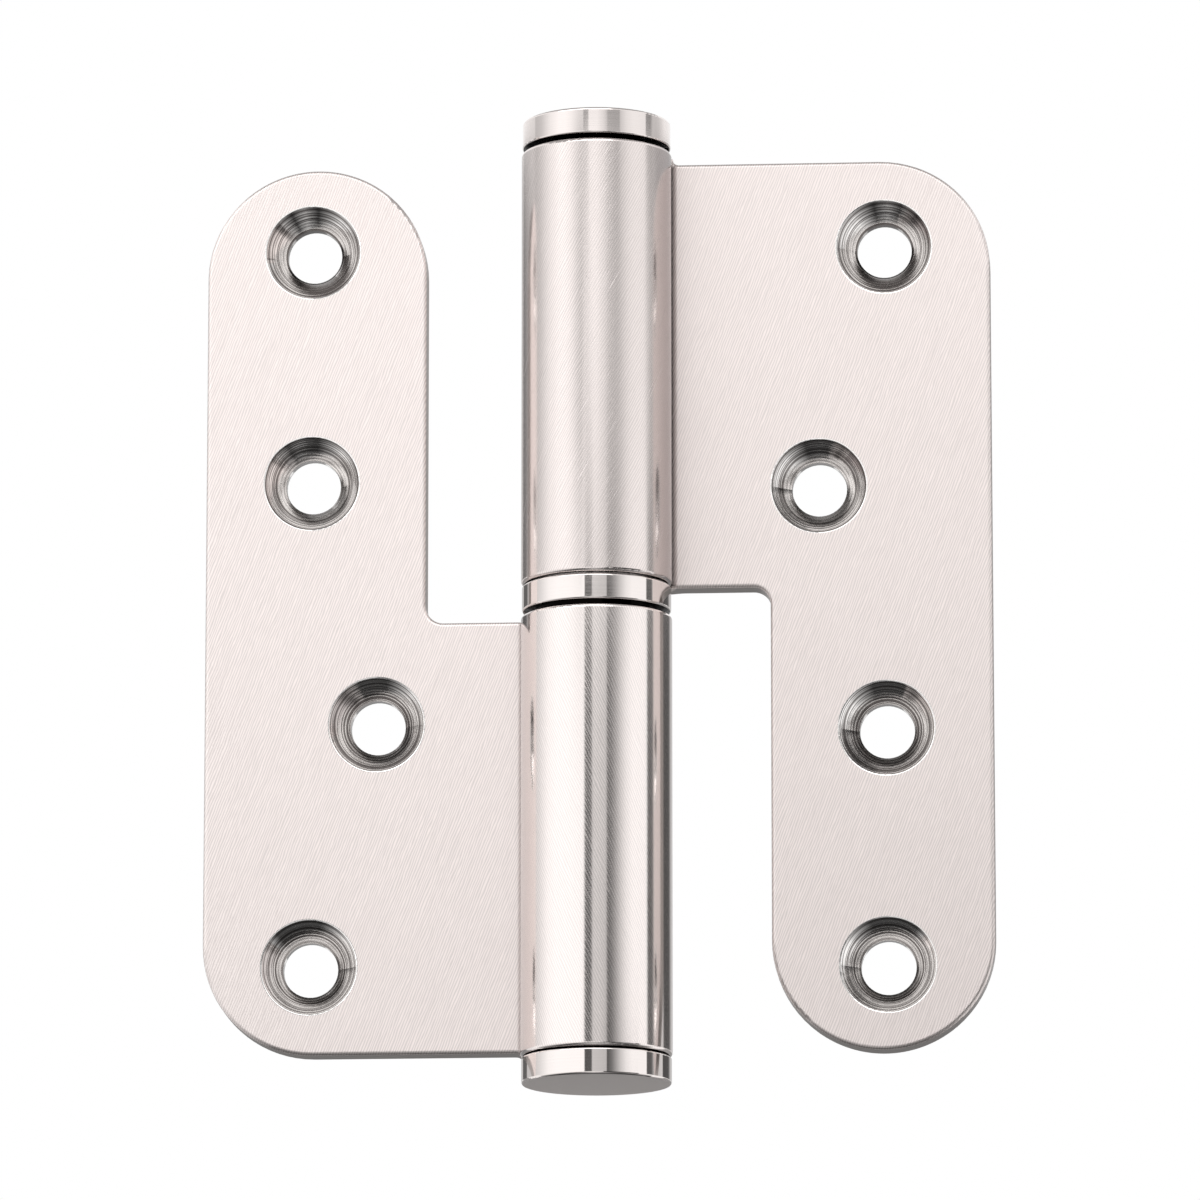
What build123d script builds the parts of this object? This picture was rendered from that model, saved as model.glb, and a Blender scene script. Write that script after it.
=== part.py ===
from build123d import *
import os
from math import acos, atan2, cos, degrees, hypot, pi, sin, tan

# Lift-off hinge, opened flat and upright. The pin runs along Z through the origin, the countersunk
# side faces -Y, the pin leaf lies towards -X and the socket leaf towards +X. Sizes are in millimetres.

# Leaves
leaf_height = 102.0
open_width = 89.0
sheet_thickness = 3.5
leaf_setback = 2.0  # front face behind the pin axis, so closed leaves stand twice this apart
tab_width = 25.0
corner_radius = 12.5
notch_radius = 2.0
edge_round = 0.45

# Rolled knuckles
pin_diameter = 10.0
knuckle_proud = 0.8  # how far a knuckle stands past the end of its leaf
crank_margin = 0.4  # from the barrel's side to the corner where the leaf turns back behind the pin
crank_outer_radius = 0.8  # pressed sharp on the face, with an easier bend on the back
crank_inner_radius = 1.0
seam_gap = 0.4

# Countersunk screw holes: insets from the leaf's outer edge and ends, heights from its middle
outer_column_inset = 12.0
inner_column_inset = 19.5
plate_end_inset = 10.0
tab_end_inset = 9.6
plate_screw_height = 13.4
tab_screw_drop = 14.5
screw_hole_diameter = 6.2
countersink_diameter = 10.8
countersink_angle = 90.0
rim_round = 0.15

# Pin
running_clearance = 0.06  # all round the free end of the pin
pin_end_gap = 2.0  # between each end of the pin and the cap that closes its knuckle
pin_tip_length = 3.0
pin_tip_taper = 1.7
pin_tip_round = 1.0
pin_foot_chamfer = 0.6

# Washer between the knuckles, and the caps at their ends
rim_inset = 0.1  # polished rims lie this much inside the barrel's face
washer_rim_height = 2.9
washer_head_land = 0.2
washer_foot_land = 0.5
washer_land_inset = 1.4
washer_round = 0.25
cap_head_height = 3.0
cap_end_round = 0.3
cap_seat_round = 0.2
cap_spigot_length = 8.0
cap_spigot_chamfer = 0.6
top_cap_gap = 0.5  # left open where a cap isn't pressed fully home
bottom_cap_gap = 0.15

# Worked-out sizes
leaf_reach = open_width / 2
leaf_end = leaf_height / 2
bore_radius = pin_diameter / 2
barrel_radius = bore_radius + sheet_thickness
rim_radius = barrel_radius - rim_inset
knuckle_foot = (washer_head_land + washer_rim_height + washer_foot_land) / 2
knuckle_end = leaf_end + knuckle_proud
outer_column = leaf_reach - outer_column_inset
inner_column = leaf_reach - inner_column_inset
crank_corner = barrel_radius + crank_margin


def polar(radius, angle):
    return (radius * cos(angle), radius * sin(angle))


def sheet_section():
    # The sheet seen along the pin: flat leaf, crank, slope behind the pin, then the roll round it
    back = leaf_setback + sheet_thickness
    # The slope runs from the crank's corner to the roll, and meets the bore without a corner at this angle
    to_corner = hypot(crank_corner, leaf_setback)
    roll_start = atan2(leaf_setback, crank_corner) + acos(bore_radius / to_corner)
    slope = pi / 2 - roll_start
    # Each face turns the corner on its own bend, whose centre lies along the line that halves the corner
    halving = Vector(tan(slope / 2), 1)
    front_bend = Vector(crank_corner, leaf_setback) + halving * crank_outer_radius
    back_bend = Vector(crank_corner, leaf_setback) + halving * (sheet_thickness + crank_inner_radius)
    # The roll stops where its outer face comes within the seam gap of the slope
    roll_end = roll_start - acos((bore_radius - seam_gap) / barrel_radius)
    roll_sweep = 360 - degrees(roll_start - roll_end)
    crank_sweep = -degrees(slope)
    with BuildSketch() as section:
        with BuildLine():
            Line((leaf_reach, back), (back_bend.X, back))
            CenterArc(back_bend, crank_inner_radius, -90, crank_sweep)
            Line(back_bend - polar(crank_inner_radius, roll_start), polar(barrel_radius, roll_start))
            CenterArc((0, 0), barrel_radius, degrees(roll_start), roll_sweep)
            Line(polar(barrel_radius, roll_end), polar(bore_radius, roll_end))
            CenterArc((0, 0), bore_radius, degrees(roll_start), roll_sweep)
            Line(polar(bore_radius, roll_start), front_bend - polar(crank_outer_radius, roll_start))
            CenterArc(front_bend, crank_outer_radius, -90, crank_sweep)
            Line((front_bend.X, leaf_setback), (leaf_reach, leaf_setback))
            Line((leaf_reach, leaf_setback), (leaf_reach, back))
        make_face()
    return section.sketch


def blank_outline():
    # The socket leaf seen from the front: knuckle at the upper left, round-ended tab at the lower right,
    # and a hollow shoulder where the knuckle's end comes down to the leaf's
    tab_inner = leaf_reach - tab_width
    tab_radius = tab_width / 2
    past_barrel = -2 * barrel_radius
    shoulder_end = barrel_radius + knuckle_proud
    with BuildSketch(Plane.XZ) as outline:
        with BuildLine():
            Polyline(
                (tab_inner - notch_radius, knuckle_foot),
                (past_barrel, knuckle_foot),
                (past_barrel, knuckle_end),
                (barrel_radius, knuckle_end),
            )
            CenterArc((shoulder_end, knuckle_end), knuckle_proud, 180, 90)
            Line((shoulder_end, leaf_end), (leaf_reach - corner_radius, leaf_end))
            CenterArc((leaf_reach - corner_radius, leaf_end - corner_radius), corner_radius, 0, 90)
            Line((leaf_reach, leaf_end - corner_radius), (leaf_reach, tab_radius - leaf_end))
            CenterArc((leaf_reach - tab_radius, tab_radius - leaf_end), tab_radius, 180, 180)
            Line((tab_inner, tab_radius - leaf_end), (tab_inner, knuckle_foot - notch_radius))
            CenterArc((tab_inner - notch_radius, knuckle_foot - notch_radius), notch_radius, 0, 90)
        make_face()
    return outline.sketch


def cut_edges(sheet):
    # Edges left by cutting out the blank: each lies on one cut face, and a corner through the sheet on two
    cut_faces = [face for face in sheet.faces() if abs(face.normal_at().Y) < 0.001]
    return [edge for edge in sheet.edges() if sum(edge in face.edges() for face in cut_faces) == 1]


def circles(piece, radius):
    rings = piece.edges().filter_by(GeomType.CIRCLE)
    return rings.filter_by(lambda ring: abs(ring.radius - radius) < 0.001)


def leaf():
    sheet = extrude(sheet_section(), amount=knuckle_end, both=True)
    sheet &= extrude(blank_outline(), amount=2 * barrel_radius, both=True)
    sheet = fillet(cut_edges(sheet), edge_round)
    front = Plane.XZ.offset(-leaf_setback)
    screw_places = [
        (outer_column, leaf_end - plate_end_inset),
        (inner_column, plate_screw_height),
        (outer_column, -tab_screw_drop),
        (outer_column, tab_end_inset - leaf_end),
    ]
    for across, height in screw_places:
        sheet -= front * Pos(across, height) * CounterSinkHole(
            screw_hole_diameter / 2, countersink_diameter / 2, 2 * sheet_thickness, countersink_angle
        )
    return fillet(circles(sheet, countersink_diameter / 2), rim_round)


def turned(*half_profile):
    # A turned piece, from the radius and height of each corner
    return revolve(Plane.XZ * Polygon(*half_profile, align=None), Axis.Z)


def hinge_pin():
    # Pressed into the lower knuckle, with a slimmer upper end that the upper knuckle turns on
    free_radius = bore_radius - running_clearance
    tip_radius = free_radius - pin_tip_taper
    foot = cap_spigot_length - bottom_cap_gap + pin_end_gap - knuckle_end
    tip = knuckle_end - cap_spigot_length + top_cap_gap - pin_end_gap
    pin = turned(
        (0, foot),
        (bore_radius, foot),
        (bore_radius, -knuckle_foot),
        (free_radius, -knuckle_foot),
        (free_radius, tip - pin_tip_length),
        (tip_radius, tip),
        (0, tip),
    )
    pin = fillet(circles(pin, tip_radius), pin_tip_round)
    return chamfer(pin.edges().sort_by(Axis.Z)[0], pin_foot_chamfer)


def bearing_washer():
    # Lands stand the polished rim off the lower knuckle, and carry the upper one just clear of it
    land_radius = rim_radius - washer_land_inset
    rim_foot = washer_foot_land - knuckle_foot
    rim_head = knuckle_foot - washer_head_land
    washer = turned(
        (bore_radius, -knuckle_foot),
        (land_radius, -knuckle_foot),
        (land_radius, rim_foot),
        (rim_radius, rim_foot),
        (rim_radius, rim_head),
        (land_radius, rim_head),
        (land_radius, knuckle_foot),
        (bore_radius, knuckle_foot),
    )
    return fillet(circles(washer, rim_radius), washer_round)


def end_cap(gap):
    # A plug for the top of a knuckle, with this gap left under its head
    seat = knuckle_end + gap
    spigot_end = seat - cap_spigot_length
    cap = turned(
        (0, spigot_end),
        (bore_radius, spigot_end),
        (bore_radius, seat),
        (rim_radius, seat),
        (rim_radius, seat + cap_head_height),
        (0, seat + cap_head_height),
    )
    cap = fillet(circles(cap, rim_radius).sort_by(Axis.Z)[-1], cap_end_round)
    cap = fillet(circles(cap, rim_radius).sort_by(Axis.Z)[0], cap_seat_round)
    return chamfer(cap.edges().sort_by(Axis.Z)[0], cap_spigot_chamfer)


# Both leaves are one pattern: the pin leaf is the socket leaf turned half round, end over end
turned_over = Rot(0, 180, 0)
pieces = {
    "pin_leaf": turned_over * leaf(),
    "socket_leaf": leaf(),
    "hinge_pin": hinge_pin(),
    "bearing_washer": bearing_washer(),
    "top_cap": end_cap(top_cap_gap),
    "bottom_cap": turned_over * end_cap(bottom_cap_gap),
}

os.makedirs("parts", exist_ok=True)
for name, piece in pieces.items():
    export_step(piece, f"parts/{name}.step")
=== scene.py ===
from math import cos, pi, radians, sin, tan

import bmesh
import bpy
from mathutils import Matrix, Vector


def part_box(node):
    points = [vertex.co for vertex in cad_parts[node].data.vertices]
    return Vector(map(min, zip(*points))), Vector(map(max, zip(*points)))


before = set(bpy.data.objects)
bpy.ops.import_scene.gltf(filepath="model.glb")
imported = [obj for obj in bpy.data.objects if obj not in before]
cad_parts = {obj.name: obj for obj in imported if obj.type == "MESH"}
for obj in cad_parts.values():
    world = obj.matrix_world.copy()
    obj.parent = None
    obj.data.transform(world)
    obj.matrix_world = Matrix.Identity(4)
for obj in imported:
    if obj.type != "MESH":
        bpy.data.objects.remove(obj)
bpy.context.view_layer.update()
scene = bpy.context.scene
scene.view_settings.view_transform = "Standard"
mm = 0.001
print("frame loaded:", sorted(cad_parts))


def linear(hexColour):
    # sRGB hex to the linear colour that a shader socket takes
    channels = [int(hexColour[i:i + 2], 16) / 255 for i in (1, 3, 5)]
    return [c / 12.92 if c < 0.04045 else ((c + 0.055) / 1.055) ** 2.4 for c in channels] + [1.0]


def grey(level):
    return [level, level, level, 1.0]


def addNode(tree, kind, inputs=None, out=0, **settings):
    # one node with its settings; each input is a link, a hex colour or a fixed value
    # gives the output that out names, or all of them for None
    node = tree.nodes.new(kind)
    for name, setting in settings.items():
        setattr(node, name, setting)
    for socket, part in (inputs or {}).items():
        if isinstance(part, bpy.types.NodeSocket):
            tree.links.new(part, node.inputs[socket])
        else:
            node.inputs[socket].default_value = linear(part) if isinstance(part, str) else part
    return node.outputs if out is None else node.outputs[out]


# a Mix node's two inputs and its output, by number, because their names are the same for every kind of value
colourMix = (6, 7, 2)
valueMix = (2, 3, 0)


def outward(azimuth, elevation):
    # from the hinge towards a place in the studio; azimuth 0 is straight out of the countersunk faces
    a, e = radians(azimuth), radians(elevation)
    return Vector((sin(a) * cos(e), -cos(a) * cos(e), sin(e)))


# Camera: a long lens from a little below and to the right, as in the photograph
cameraView = {
    "azimuth": 4.005,
    "elevation": -11.435,
    "distance": 1.035,
    "lens": 275.84,
    "sensor": 36,
    "target": Vector((0.385, 0, 0.157)) * mm,
}
camera = bpy.data.objects.new("camera", bpy.data.cameras.new("camera"))
camera.data.lens = cameraView["lens"]
camera.data.sensor_width = cameraView["sensor"]
back = outward(cameraView["azimuth"], cameraView["elevation"])
camera.location = cameraView["target"] + back * cameraView["distance"]
camera.rotation_euler = (-back).to_track_quat("-Z", "Y").to_euler()
scene.collection.objects.link(camera)
scene.camera = camera
print("camera placed")


# Studio: white all round, a soft box, and screens and cards that only reflections see
def bareMaterial(name):
    # a material whose nodes are all still to be added, and its tree
    material = bpy.data.materials.new(name)
    material.use_nodes = True
    material.node_tree.nodes.clear()
    return material, material.node_tree


def stagePiece(name, shape, material):
    mesh = bpy.data.meshes.new(name)
    shape.to_mesh(mesh)
    shape.free()
    mesh.materials.append(material)
    piece = bpy.data.objects.new(name, mesh)
    scene.collection.objects.link(piece)
    return piece


def flatSheet(name, width, depth, place, material):
    # a plain sheet, width along its own X and depth along its own Y
    shape = bmesh.new()
    bmesh.ops.create_grid(shape, x_segments=1, y_segments=1, size=0.5)
    bmesh.ops.transform(shape, matrix=place @ Matrix.Diagonal((width, depth, 1, 1)), verts=shape.verts)
    return stagePiece(name, shape, material)


def onlyReflected(piece):
    piece.visible_camera = False
    piece.visible_diffuse = False
    piece.visible_shadow = False
    piece.visible_transmission = False


facetAngle = 4  # degrees of a round screen to each of its flat facets


def curvedScreen(name, plan):
    # a stretch of a round screen about the hinge, whose brightness goes from level to level with azimuth
    material, tree = bareMaterial(name)
    first, last = plan["levels"][0][0], plan["levels"][-1][0]
    coords = addNode(tree, "ShaderNodeTexCoord", out="Object")
    gradientStart = -90  # the azimuth where a radial gradient is 0, turned to the first azimuth
    turn = (0, 0, radians(gradientStart - first))
    turned = addNode(tree, "ShaderNodeMapping", {"Vector": coords, "Rotation": turn})
    around = addNode(tree, "ShaderNodeTexGradient", {0: turned}, out="Fac", gradient_type="RADIAL")
    shades = addNode(tree, "ShaderNodeValToRGB", {"Fac": around})
    stops = shades.node.color_ramp.elements
    for i, (azimuth, level) in enumerate(plan["levels"]):
        part = (azimuth - first) / 360
        stop = stops[i] if i < 2 else stops.new(part)
        stop.position = part
        stop.color = grey(level)
    glow = addNode(tree, "ShaderNodeEmission", {"Color": shades})
    addNode(tree, "ShaderNodeOutputMaterial", {"Surface": glow}, out=None)
    shape = bmesh.new()
    ends = [outward(first, 0) * plan["radius"] for _ in range(2)]
    for end, elevation in zip(ends, plan["elevations"]):
        end.z = plan["radius"] * tan(radians(elevation))
    edge = shape.edges.new([shape.verts.new(end) for end in ends])
    bmesh.ops.spin(
        shape,
        geom=[*edge.verts, edge],
        axis=(0, 0, 1),
        cent=(0, 0, 0),
        angle=radians(last - first),
        steps=round((last - first) / facetAngle),
    )
    onlyReflected(stagePiece(name, shape, material))


# level: how bright the box looks, beside a white of 1
softBox = {"azimuths": (-60, 30), "elevations": (24, 60), "distance": 1.2, "level": 1.2}
half = radians(softBox["azimuths"][1] - softBox["azimuths"][0]) / 2
low, high = (softBox["distance"] * tan(radians(angle)) for angle in softBox["elevations"])
lamp = bpy.data.objects.new("topSoftBox", bpy.data.lights.new("topSoftBox", "AREA"))
lamp.data.shape = "RECTANGLE"
lamp.data.size = 2 * softBox["distance"] * tan(half)
lamp.data.size_y = high - low
lamp.data.energy = softBox["level"] * pi * lamp.data.size * lamp.data.size_y
away = outward(sum(softBox["azimuths"]) / 2, 0)
turn = away.to_track_quat("Z", "Y").to_matrix().to_4x4()
middle = away * softBox["distance"] + Vector((0, 0, (low + high) / 2))
lamp.matrix_world = Matrix.Translation(middle) @ turn
lamp.visible_camera = False
scene.collection.objects.link(lamp)

# brightness at each azimuth: the low ring shows in the lower barrel, the washer and the bottom cap,
# the high ring in the upper barrel, and the top ring in the top cap; the back card stands low behind the
# hinge, and the low flag shades the foot of the right leaf
screens = {
    "lowRing": {
        "radius": 1.4,
        "elevations": (3, 11.9),
        "levels": [
            (-150, 0.12),
            (-131, 0.14),
            (-129, 0.6),
            (-112, 0.62),
            (-92, 0.84),
            (-75, 1.1),
            (-60, 1.16),
            (-14.4, 1.14),
            (-14, 0.1),
            (-3.4, 0.12),
            (-3, 0.64),
            (19.5, 0.58),
            (20, 0.1),
            (27, 0.2),
            (34, 0.42),
            (41, 0.68),
            (50, 0.94),
            (60, 1.08),
            (87, 1.06),
            (87.5, 0.1),
            (97, 0.12),
            (104, 0.55),
            (125, 0.7),
            (127, 0.08),
            (148, 0.1),
            (160, 0.6),
            (210, 0.6),
        ],
    },
    "highRing": {
        "radius": 1.4,
        "elevations": (11.9, 16.2),
        "levels": [
            (-150, 0.15),
            (-138, 0.25),
            (-126, 0.34),
            (-112, 0.5),
            (-100, 0.56),
            (-88, 0.72),
            (-75, 0.96),
            (-58, 1.14),
            (-46, 1.14),
            (-36, 1.03),
            (-24, 0.56),
            (-19, 0.44),
            (-14, 1.2),
            (-6, 1.3),
            (4, 1.2),
            (12, 1.0),
            (22, 0.8),
            (33, 0.66),
            (42, 0.66),
            (55, 0.86),
            (70, 0.95),
            (82, 0.95),
            (92, 0.8),
            (110, 0.42),
            (150, 0.4),
            (180, 0.6),
            (210, 0.6),
        ],
    },
    "topRing": {
        "radius": 1.4,
        "elevations": (16.2, 20),
        "levels": [
            (-150, 1.0),
            (-128, 0.95),
            (-109, 0.85),
            (-107, 0.6),
            (-92, 0.66),
            (-73, 1.0),
            (-57, 1.16),
            (-45, 1.16),
            (-27, 0.98),
            (-17, 0.9),
            (-16, 0.2),
            (-9.5, 0.25),
            (-8, 0.9),
            (5, 0.95),
            (15, 0.78),
            (20, 0.55),
            (21, 0.33),
            (40, 0.36),
            (41, 0.68),
            (51, 0.9),
            (63, 1.0),
            (86.5, 0.92),
            (87.5, 0.2),
            (97, 0.22),
            (102, 0.6),
            (117, 0.7),
            (136, 1.0),
            (210, 1.0),
        ],
    },
    "backCard": {"radius": 0.9, "elevations": (-58, -2), "levels": [(130, 0.32), (230, 0.32)]},
    "lowFlag": {"radius": 0.25, "elevations": (-50, -5), "levels": [(14, 0.05), (70, 0.05)]},
}
for name, plan in screens.items():
    curvedScreen(name, plan)

# edges: left, right, front and back; brightness goes from level to level over the fade, out from the middle
levelCards = {
    "underCard": {
        "edges": (-0.4, 0.4, -0.4, 0.05),
        "height": -0.15,
        "fade": (0.08, 0.28),
        "levels": (0.05, 0.9),
    },
    # just above the first, so that the barrels aren't black from above
    "frontCard": {
        "edges": (-0.08, 0.08, -0.4, -0.045),
        "height": -0.149,
        "fade": (0, 0.08),
        "levels": (0.5, 0.05),
    },
    "overCard": {
        "edges": (-0.25, 0.25, -0.2, 0.3),
        "height": 0.3,
        "fade": (0, 0.25),
        "levels": (0.4, 0.4),
    },
}
for name, card in levelCards.items():
    left, right, front, rear = card["edges"]
    material, tree = bareMaterial(name)
    coords = addNode(tree, "ShaderNodeTexCoord", out="Object")
    x, _, _ = addNode(tree, "ShaderNodeSeparateXYZ", {0: coords}, out=None)
    aside = addNode(tree, "ShaderNodeMath", {0: x}, operation="ABSOLUTE")
    (start, end), (first, last) = card["fade"], card["levels"]
    span = {"Value": aside, "From Min": start, "From Max": end, "To Min": first, "To Max": last}
    level = addNode(tree, "ShaderNodeMapRange", span)
    glow = addNode(tree, "ShaderNodeEmission", {"Color": level})
    addNode(tree, "ShaderNodeOutputMaterial", {"Surface": glow}, out=None)
    place = Matrix.Translation(((left + right) / 2, (front + rear) / 2, card["height"]))
    onlyReflected(flatSheet(name, right - left, rear - front, place, material))

# the world is white to the eye and in reflections, and softer as a lamp
worldLight = {"seen": 1.0, "lit": 0.45}
world = bpy.data.worlds.new("studio")
world.use_nodes = True
scene.world = world
tree = world.node_tree
tree.nodes.clear()
rays = addNode(tree, "ShaderNodeLightPath", out=None)
seen = rays["Is Camera Ray"]
for ray in ("Is Glossy Ray", "Is Transmission Ray"):
    seen = addNode(tree, "ShaderNodeMath", {0: seen, 1: rays[ray]}, operation="ADD")
limits = {"Value": seen, "To Min": worldLight["lit"], "To Max": worldLight["seen"]}
strength = addNode(tree, "ShaderNodeMapRange", limits)
sky = addNode(tree, "ShaderNodeBackground", {"Color": grey(1.0), "Strength": strength})
addNode(tree, "ShaderNodeOutputWorld", {"Surface": sky}, out=None)

floorPlan = {"size": 8.0, "height": -0.3, "colour": "#EDECEA", "roughness": 0.9, "ownLight": 0.45}
paint = bpy.data.materials.new("paleFloor")
paint.use_nodes = True
paintShader = paint.node_tree.nodes["Principled BSDF"]
paintShader.inputs["Base Color"].default_value = linear(floorPlan["colour"])
paintShader.inputs["Roughness"].default_value = floorPlan["roughness"]
# seen by the camera it glows a little, so that it looks as pale as the room and keeps its shadow
tree = paint.node_tree
ray = addNode(tree, "ShaderNodeLightPath", out="Is Camera Ray")
glow = addNode(tree, "ShaderNodeMath", {0: ray, 1: floorPlan["ownLight"]}, operation="MULTIPLY")
tree.links.new(glow, paintShader.inputs["Emission Strength"])
paintShader.inputs["Emission Color"].default_value = linear(floorPlan["colour"])
place = Matrix.Translation((0, 0, floorPlan["height"]))
floor = flatSheet("floor", floorPlan["size"], floorPlan["size"], place, paint)
floor.visible_glossy = False
print("studio set: one soft box,", len(screens) + len(levelCards), "screens and cards")


# Sizes that the finishes take from the frame, in metres; the pin runs up the middle
pinLeafLow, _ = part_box("pin_leaf")
washerLow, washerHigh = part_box("bearing_washer")
barrelRadius = -pinLeafLow.y
knuckleEnd = -pinLeafLow.z
knuckleFoot = washerHigh.z
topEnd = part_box("top_cap")[1].z
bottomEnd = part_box("bottom_cap")[0].z


# Parts that the finishes share
grease = "#171413"  # blackened grease, on the faces inside a joint


def newMetal(name):
    material = bpy.data.materials.new(name)
    material.use_nodes = True
    shader = material.node_tree.nodes["Principled BSDF"]
    shader.inputs["Metallic"].default_value = 1.0
    return material, material.node_tree, shader


def places(tree):
    # where a point lies: its coordinates and their parts, how far from the pin's axis, and its face's normal
    source = addNode(tree, "ShaderNodeTexCoord", out=None)
    coords = source["Object"]
    across = addNode(tree, "ShaderNodeVectorMath", {0: coords, 1: (1, 1, 0)}, operation="MULTIPLY")
    radius = addNode(tree, "ShaderNodeVectorMath", {0: across}, out="Value", operation="LENGTH")
    return coords, addNode(tree, "ShaderNodeSeparateXYZ", {0: coords}, out=None), radius, source["Normal"]


def groundLines(tree, coords, size, lean, hatched=False):
    # lines that grinding leaves: width and length in mm, lean in degrees from upright
    width, length = (part * mm for part in size)
    turned = {"Vector": coords, "Rotation": (0, radians(lean), 0), "Scale": (width, width, length)}
    mapped = addNode(tree, "ShaderNodeMapping", turned, vector_type="TEXTURE")
    if not hatched:
        single = {"Vector": mapped, "Scale": 1.0, "Detail": 0.0}
        return addNode(tree, "ShaderNodeTexNoise", single, out="Fac")
    # hatched lines lie side by side, one wave to each width, and wander, so that they break off
    oneWave = pi / 10  # the scale at which a wave is one unit long
    wander = {"Distortion": 7.0, "Detail": 3.0, "Detail Scale": 0.5, "Detail Roughness": 0.8}
    return addNode(tree, "ShaderNodeTexWave", {"Vector": mapped, "Scale": oneWave, **wander}, out="Fac")


def turnedRings(tree, across, along, pitch, drift):
    # rings left by a cutting tool: they change with pitch across, and slowly along
    scaled = {}
    for axis, value, step in (("X", across, pitch), ("Y", along, drift)):
        scaled[axis] = addNode(tree, "ShaderNodeMath", {0: value, 1: step * mm}, operation="DIVIDE")
    rings = {"Vector": addNode(tree, "ShaderNodeCombineXYZ", scaled), "Scale": 1.0, "Detail": 2.0}
    return addNode(tree, "ShaderNodeTexNoise", rings, noise_dimensions="2D")


def dress(tree, shader, layers):
    # lays each layer's colour, roughness and depth over those before it, where its mask is 1
    mixes = {"colour": ("RGBA", colourMix), "roughness": ("FLOAT", valueMix), "depth": ("FLOAT", valueMix)}
    base, *above = layers
    shown = dict(base)
    for layer in above:
        for look, (kind, (under, over, mixed)) in mixes.items():
            if look in layer:
                ends = {0: layer["mask"], under: shown[look], over: layer[look]}
                shown[look] = addNode(tree, "ShaderNodeMix", ends, out=mixed, data_type=kind)
    bump = addNode(tree, "ShaderNodeBump", {"Distance": 1.0, "Height": shown["depth"]})
    tree.links.new(shown["colour"], shader.inputs["Base Color"])
    tree.links.new(shown["roughness"], shader.inputs["Roughness"])
    tree.links.new(bump, shader.inputs["Normal"])


# Satin stainless sheet: ground with a fine slanting grain, so it looks soft and pale, with hairlines that
# catch the light; its edges are rubbed smooth and its countersinks turned, which are sharper and show rings
sheetPlan = {
    "socketHoles": [(32.5, 41.0), (25.0, 13.4), (32.5, -14.5), (32.5, -41.4)],  # x and z of each, in mm
    # where each place starts and is full: in mm from the barrel's face
    "barrel": (0.25, 0.1),
    "leaf": (0.5, 0.8),
    # where the painted shade in the barrel's corner by the leaf starts and is full
    "corner": (-2.3, 0.0),
    "insideBarrel": -0.2,
    # in mm from a hole's middle
    "sinkRim": (5.42, 5.38),
    "rimRadius": 5.43,
    # in mm behind the pin's axis, just short of the leaf's back
    "sinkBack": (5.35, 5.3),
    # how far either side of the rim and of the knuckle's ends their look reaches, in mm
    "rimBand": 0.08,
    "endBand": 0.03,
    # by how squarely a face looks to the front: 1 is the leaf's own face, 0 the sheared edge
    "rounded": (0.99, 0.96),
    "sheared": (0.5, 0.2),
}


def nearestHole(tree, coords, holes):
    # how far a point lies from the nearest hole's middle, seen along Y
    flat = addNode(tree, "ShaderNodeVectorMath", {0: coords, 1: (1, 0, 1)}, operation="MULTIPLY")
    nearest = 1.0  # further than any hole
    for x, z in holes:
        ends = {0: flat, 1: (x * mm, 0, z * mm)}
        way = addNode(tree, "ShaderNodeVectorMath", ends, out="Value", operation="DISTANCE")
        nearest = addNode(tree, "ShaderNodeMath", {0: nearest, 1: way}, operation="MINIMUM")
    return nearest


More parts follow.
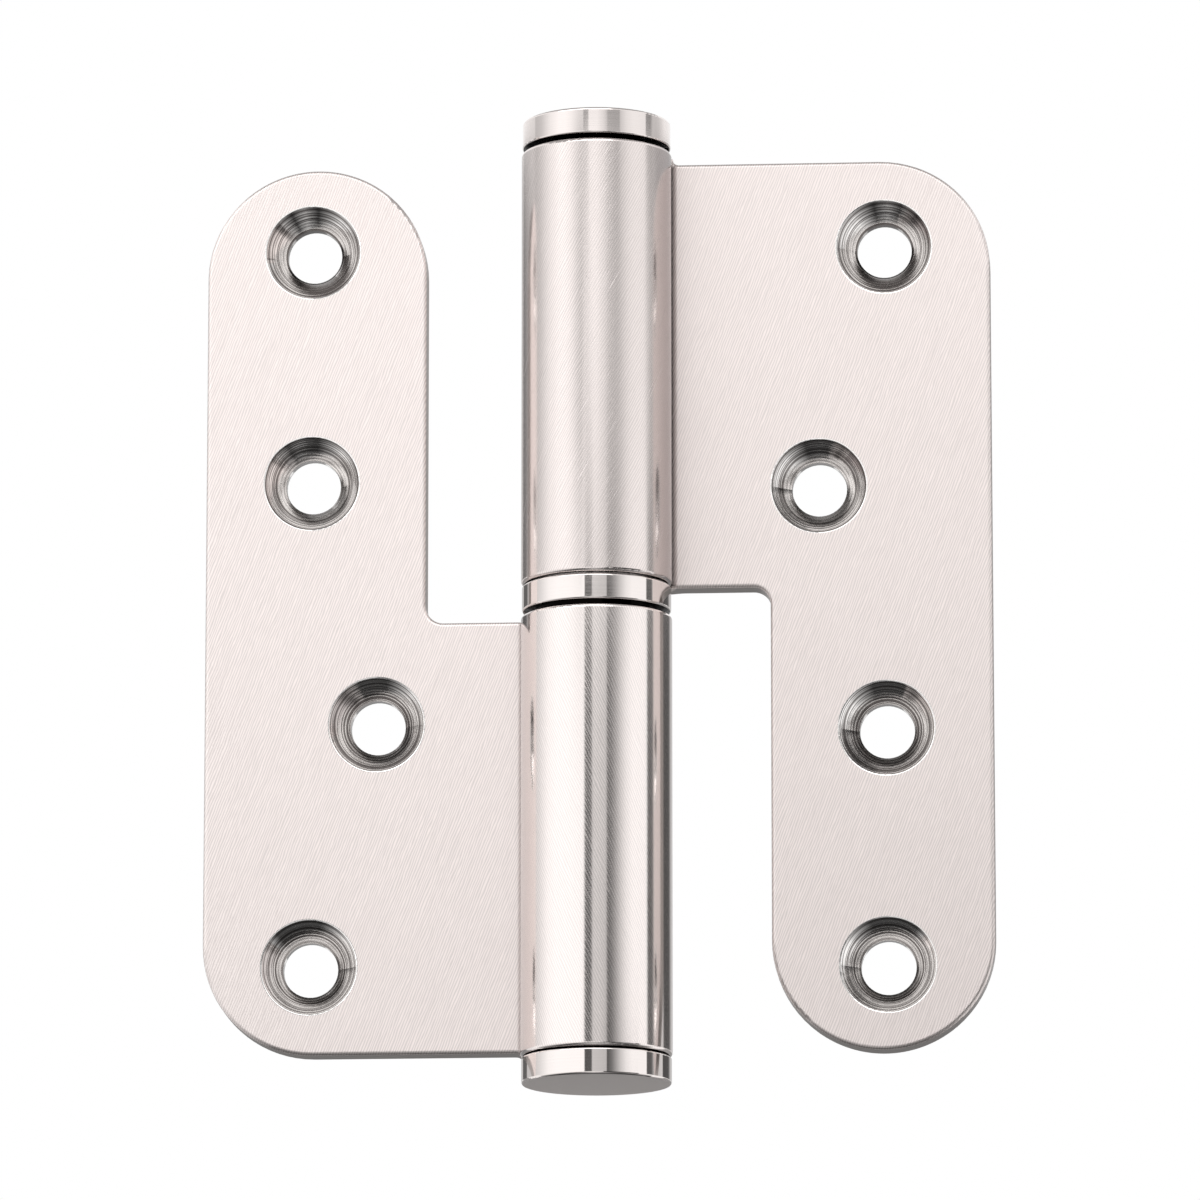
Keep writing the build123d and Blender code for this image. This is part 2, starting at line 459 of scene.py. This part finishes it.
def satinSheet(name, finish, holes):
    material, tree, shader = newMetal(name)
    coords, (x, y, z), radius, normal = places(tree)
    up = addNode(tree, "ShaderNodeMath", {0: z}, operation="ABSOLUTE")
    _, ahead, _ = addNode(tree, "ShaderNodeSeparateXYZ", {0: normal}, out=None)
    square = addNode(tree, "ShaderNodeMath", {0: ahead}, operation="ABSOLUTE")
    towardsLeaf = addNode(tree, "ShaderNodeMath", {0: x, 1: finish["leafSide"]}, operation="MULTIPLY")
    away = nearestHole(tree, coords, holes)

    # on the barrel the grain is laid round it: the way round from the front, then the height
    front = addNode(tree, "ShaderNodeMath", {0: y, 1: -1.0}, operation="MULTIPLY")
    turn = addNode(tree, "ShaderNodeMath", {0: x, 1: front}, operation="ARCTAN2")
    way = addNode(tree, "ShaderNodeMath", {0: turn, 1: barrelRadius}, operation="MULTIPLY")
    wrapped = addNode(tree, "ShaderNodeCombineXYZ", {"X": way, "Z": z})
    # the hairlines are drawn wider and darker than the grit leaves them, so that they show
    hairs = groundLines(tree, coords, finish["grain"], finish["grainLean"], hatched=True)
    streaks = groundLines(tree, coords, finish["streak"], finish["grainLean"])
    barrelHairs = groundLines(tree, wrapped, finish["grain"], finish["barrelLean"], hatched=True)
    scratches = groundLines(tree, wrapped, finish["scratch"], finish["barrelLean"])
    waves = groundLines(tree, coords, finish["wave"], 0)
    rings = turnedRings(tree, away, z, finish["ringPitch"], finish["ringDrift"])

    # where each part of the finish is, from 0 at the start of its span to 1 at the end
    masks = {}
    spans = {
        "barrel": (radius, barrelRadius, mm, sheetPlan["barrel"]),
        "leaf": (radius, barrelRadius, mm, sheetPlan["leaf"]),
        "corner": (towardsLeaf, barrelRadius, mm, sheetPlan["corner"]),
        "rim": (away, 0, mm, sheetPlan["sinkRim"]),
        "cone": (y, 0, mm, sheetPlan["sinkBack"]),
        "rounded": (square, 0, 1, sheetPlan["rounded"]),
        "sheared": (square, 0, 1, sheetPlan["sheared"]),
        "scratch": (scratches, 0, 1, finish["scratchSpan"]),
        "ring": (rings, 0, 1, finish["ringSpan"]),
    }
    for mask, (value, start, unit, (first, last)) in spans.items():
        span = {"Value": value, "From Min": start + first * unit, "From Max": start + last * unit}
        masks[mask] = addNode(tree, "ShaderNodeMapRange", span)
    # the barrel is painted darker into the corner by the leaf, as painted shade; the cut edges keep their
    # own sheared tone, painted darker still as painted shade
    both = {
        "sink": ("rim", "cone"),
        "edge": ("leaf", "rounded"),
        "cut": ("leaf", "sheared"),
        "barrelCornerShade": ("barrel", "corner"),
        "barrelScratch": ("barrel", "scratch"),
    }
    for mask, (one, other) in both.items():
        masks[mask] = addNode(tree, "ShaderNodeMath", {0: masks[one], 1: masks[other]}, operation="MULTIPLY")
    # the countersink's rim is burnished by the cutter, so smoother, and painted in the sink's lightest
    # colour as a painted highlight
    ring = {0: away, 1: sheetPlan["rimRadius"] * mm, 2: sheetPlan["rimBand"] * mm}
    onRing = addNode(tree, "ShaderNodeMath", ring, operation="COMPARE")
    masks["burnish"] = addNode(tree, "ShaderNodeMath", {0: onRing, 1: masks["cone"]}, operation="MULTIPLY")
    # the knuckle's end faces are greased, inside the barrel's round
    near = []
    for height in (knuckleFoot, knuckleEnd):
        band = {0: up, 1: height, 2: sheetPlan["endBand"] * mm}
        near.append(addNode(tree, "ShaderNodeMath", band, operation="COMPARE"))
    atEnd = addNode(tree, "ShaderNodeMath", {0: near[0], 1: near[1]}, operation="ADD")
    limit = barrelRadius + sheetPlan["insideBarrel"] * mm
    inside = addNode(tree, "ShaderNodeMath", {0: radius, 1: limit}, operation="LESS_THAN")
    masks["grease"] = addNode(tree, "ShaderNodeMath", {0: atEnd, 1: inside}, operation="MULTIPLY")
    low, high = finish["streakSpan"]
    faint = {"Value": streaks, "From Min": low, "From Max": high, "To Max": finish["streakStrength"]}
    masks["streak"] = addNode(tree, "ShaderNodeMapRange", faint)

    tones = {}
    darkEnd, lightEnd, mixed = colourMix
    patterns = {
        "leaf": (hairs, finish["shade"], finish["colour"]),
        "barrel": (barrelHairs, finish["barrelShade"], finish["barrelColour"]),
        "sink": (masks["ring"], finish["sinkShade"], finish["sinkColour"]),
    }
    for place, (pattern, dark, light) in patterns.items():
        ends = {0: pattern, darkEnd: dark, lightEnd: light}
        tones[place] = addNode(tree, "ShaderNodeMix", ends, out=mixed, data_type="RGBA")
    rough = {}
    low, high = finish["grainSpan"]
    for place, lines, (least, most) in (
        ("leaf", hairs, finish["roughness"]),
        ("barrel", barrelHairs, finish["barrelRoughness"]),
    ):
        span = {"Value": lines, "From Min": low, "From Max": high, "To Min": least, "To Max": most}
        rough[place] = addNode(tree, "ShaderNodeMapRange", span)
    depths = {}
    for place, lines, depth in (
        ("leaf", hairs, finish["grainDepth"]),
        ("grain", barrelHairs, finish["barrelGrainDepth"]),
        ("wave", waves, finish["waveDepth"]),
        ("sink", rings, finish["ringDepth"]),
    ):
        depths[place] = addNode(tree, "ShaderNodeMath", {0: lines, 1: depth * mm}, operation="MULTIPLY")
    waved = addNode(tree, "ShaderNodeMath", {0: depths["grain"], 1: depths["wave"]}, operation="ADD")

    dress(tree, shader, [
        {"colour": tones["leaf"], "roughness": rough["leaf"], "depth": depths["leaf"]},
        {"mask": masks["streak"], "colour": finish["shade"]},
        # the cut edges: their own sheared tone, painted darker still as painted shade
        {"mask": masks["cut"], "colour": finish["shearedEdgeAndShade"]},
        {"mask": masks["edge"], "roughness": finish["edgeRoughness"], "depth": 0.0},
        {"mask": masks["barrel"], "colour": tones["barrel"], "roughness": rough["barrel"], "depth": waved},
        # painted shade: the barrel darkens into its corner by the leaf
        {"mask": masks["barrelCornerShade"], "colour": finish["cornerShadeColour"]},
        {"mask": masks["barrelScratch"], "roughness": finish["scratchRoughness"]},
        {
            "mask": masks["sink"],
            "colour": tones["sink"],
            "roughness": finish["sinkRoughness"],
            "depth": depths["sink"],
        },
        # painted highlight on the countersink's rim, with the burnish's lower roughness
        {
            "mask": masks["burnish"],
            "colour": finish["sinkColour"],
            "roughness": finish["burnishRoughness"],
            "depth": 0.0,
        },
        {"mask": masks["grease"], "colour": grease},
    ])
    return material


# sizes in mm; each grain, streak, scratch and wave is a width and a length
socketLeafFinish = {
    "leafSide": 1.0,  # the leaf lies towards +X
    # the socket leaf's face colour is painted darker than the pin leaf's, as painted shade
    "colour": "#F7EEEB",
    "shade": "#DBD2CF",
    "roughness": (0.44, 0.54),
    "grain": (0.28, 1.4),
    "grainSpan": (0.3, 0.7),
    "grainLean": 21,
    "grainDepth": 0.001,
    "streak": (0.2, 9),
    "streakSpan": (0.5, 0.8),
    "streakStrength": 0.3,
    # the sheared edges' own tone, darkened further as painted shade
    "shearedEdgeAndShade": "#B2ACA9",
    "edgeRoughness": 0.4,
    "barrelColour": "#F3EAE7",
    "barrelShade": "#E5DCD9",
    "barrelRoughness": (0.15, 0.18),
    "barrelLean": 30,
    "barrelGrainDepth": 0.0002,
    # painted shade in the corner between barrel and leaf
    "cornerShadeColour": "#B5ACAB",
    "wave": (7, 30),
    "waveDepth": 0.06,
    "scratch": (0.1, 7),
    "scratchSpan": (0.72, 0.8),
    "scratchRoughness": 0.4,
    "sinkColour": "#FFFCFA",
    "sinkShade": "#827D7B",
    "sinkRoughness": 0.1,
    "burnishRoughness": 0.15,
    "ringPitch": 0.14,
    "ringDrift": 25,
    "ringSpan": (0.4, 0.6),
    "ringDepth": 0.006,
}
# the pin leaf is the same sheet, its face painted lighter than the socket leaf's as painted light and shade
# between the two leaves, with a brighter and smoother barrel ground the other way
pinLeafFinish = {
    **socketLeafFinish,
    "leafSide": -1.0,
    "colour": "#FCF3F0",
    "shade": "#E0D7D4",
    "barrelColour": "#FBF3F0",
    "barrelShade": "#EDE5E2",
    "barrelRoughness": (0.1, 0.15),
    "barrelLean": -25,
    # painted shade in the corner between barrel and leaf
    "cornerShadeColour": "#C6C0BF",
    "scratchRoughness": 0.2,
    "waveDepth": 0.012,
}
socketHoles = sheetPlan["socketHoles"]
pinHoles = [(-x, -z) for x, z in socketHoles]


# Polished stainless, turned on a lathe: sharp reflections with faint rings round the axis; the faces
# that sit inside a joint stay dull and dark with grease
faceEdge = (0.06, 0.02)  # a face's own look starts and is full this far inside the piece, in mm


def turnedSteel(name, finish):
    material, tree, shader = newMetal(name)
    _, (_, _, z), radius, _ = places(tree)
    rings = turnedRings(tree, radius, z, finish["ringPitch"], finish["ringPitch"])
    darkEnd, lightEnd, mixed = colourMix
    ends = {0: rings, darkEnd: finish["shade"], lightEnd: finish["colour"]}
    tone = addNode(tree, "ShaderNodeMix", ends, out=mixed, data_type="RGBA")
    (low, high), (least, most) = finish["ringSpan"], finish["roughness"]
    span = {"Value": rings, "From Min": low, "From Max": high, "To Min": least, "To Max": most}
    rough = addNode(tree, "ShaderNodeMapRange", span)
    depth = addNode(tree, "ShaderNodeMath", {0: rings, 1: finish["ringDepth"] * mm}, operation="MULTIPLY")
    layers = [{"colour": tone, "roughness": rough, "depth": depth}]
    # a face's side is 1 where the piece lies above it, and -1 where it lies below
    for face in finish["faces"]:
        start, full = (face["height"] + face["side"] * edge * mm for edge in faceEdge)
        mask = addNode(tree, "ShaderNodeMapRange", {"Value": z, "From Min": start, "From Max": full})
        layers.append({**face, "mask": mask})
    dress(tree, shader, layers)
    return material


capHead = 3.0 * mm  # how tall a cap's head is, outside its knuckle
washerLand = 0.5 * mm  # what the washer's rim stands off the lower knuckle
polishFinish = {
    "colour": "#F5EEEB",
    "shade": "#EDE6E3",
    "roughness": (0.04, 0.07),
    "ringPitch": 0.12,
    "ringSpan": (0.3, 0.7),
    "ringDepth": 0.0001,
    "faces": [],
}
topCapFinish = {
    **polishFinish,
    "colour": "#F6EEEB",
    "shade": "#ECE4E1",
    "roughness": (0.05, 0.08),
    "faces": [
        {"height": topEnd, "side": -1, "roughness": 0.4},
        {"height": topEnd - capHead, "side": 1, "colour": grease},
    ],
}
bottomCapFinish = {
    **polishFinish,
    "faces": [
        {"height": bottomEnd, "side": 1, "roughness": 0.45},
        {"height": bottomEnd + capHead, "side": -1, "colour": grease},
    ],
}
washerFinish = {
    **polishFinish,
    "faces": [{"height": washerLow.z + washerLand, "side": 1, "colour": grease}],
}
pinFinish = {
    **polishFinish,
    "colour": "#E3DEDB",
    "shade": "#D2CDCA",
    "roughness": (0.1, 0.18),
    "ringDepth": 0.0006,
}

finishes = {
    "pin_leaf": satinSheet("satin ground stainless, pin leaf", pinLeafFinish, pinHoles),
    "socket_leaf": satinSheet("satin ground stainless, socket leaf", socketLeafFinish, socketHoles),
    "top_cap": turnedSteel("polished stainless, top cap", topCapFinish),
    "bottom_cap": turnedSteel("polished stainless, bottom cap", bottomCapFinish),
    "bearing_washer": turnedSteel("polished stainless, washer", washerFinish),
    "hinge_pin": turnedSteel("ground stainless pin", pinFinish),
}
for node, material in finishes.items():
    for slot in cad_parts[node].material_slots:
        slot.material = material
print("finishes given to", len(finishes), "pieces")
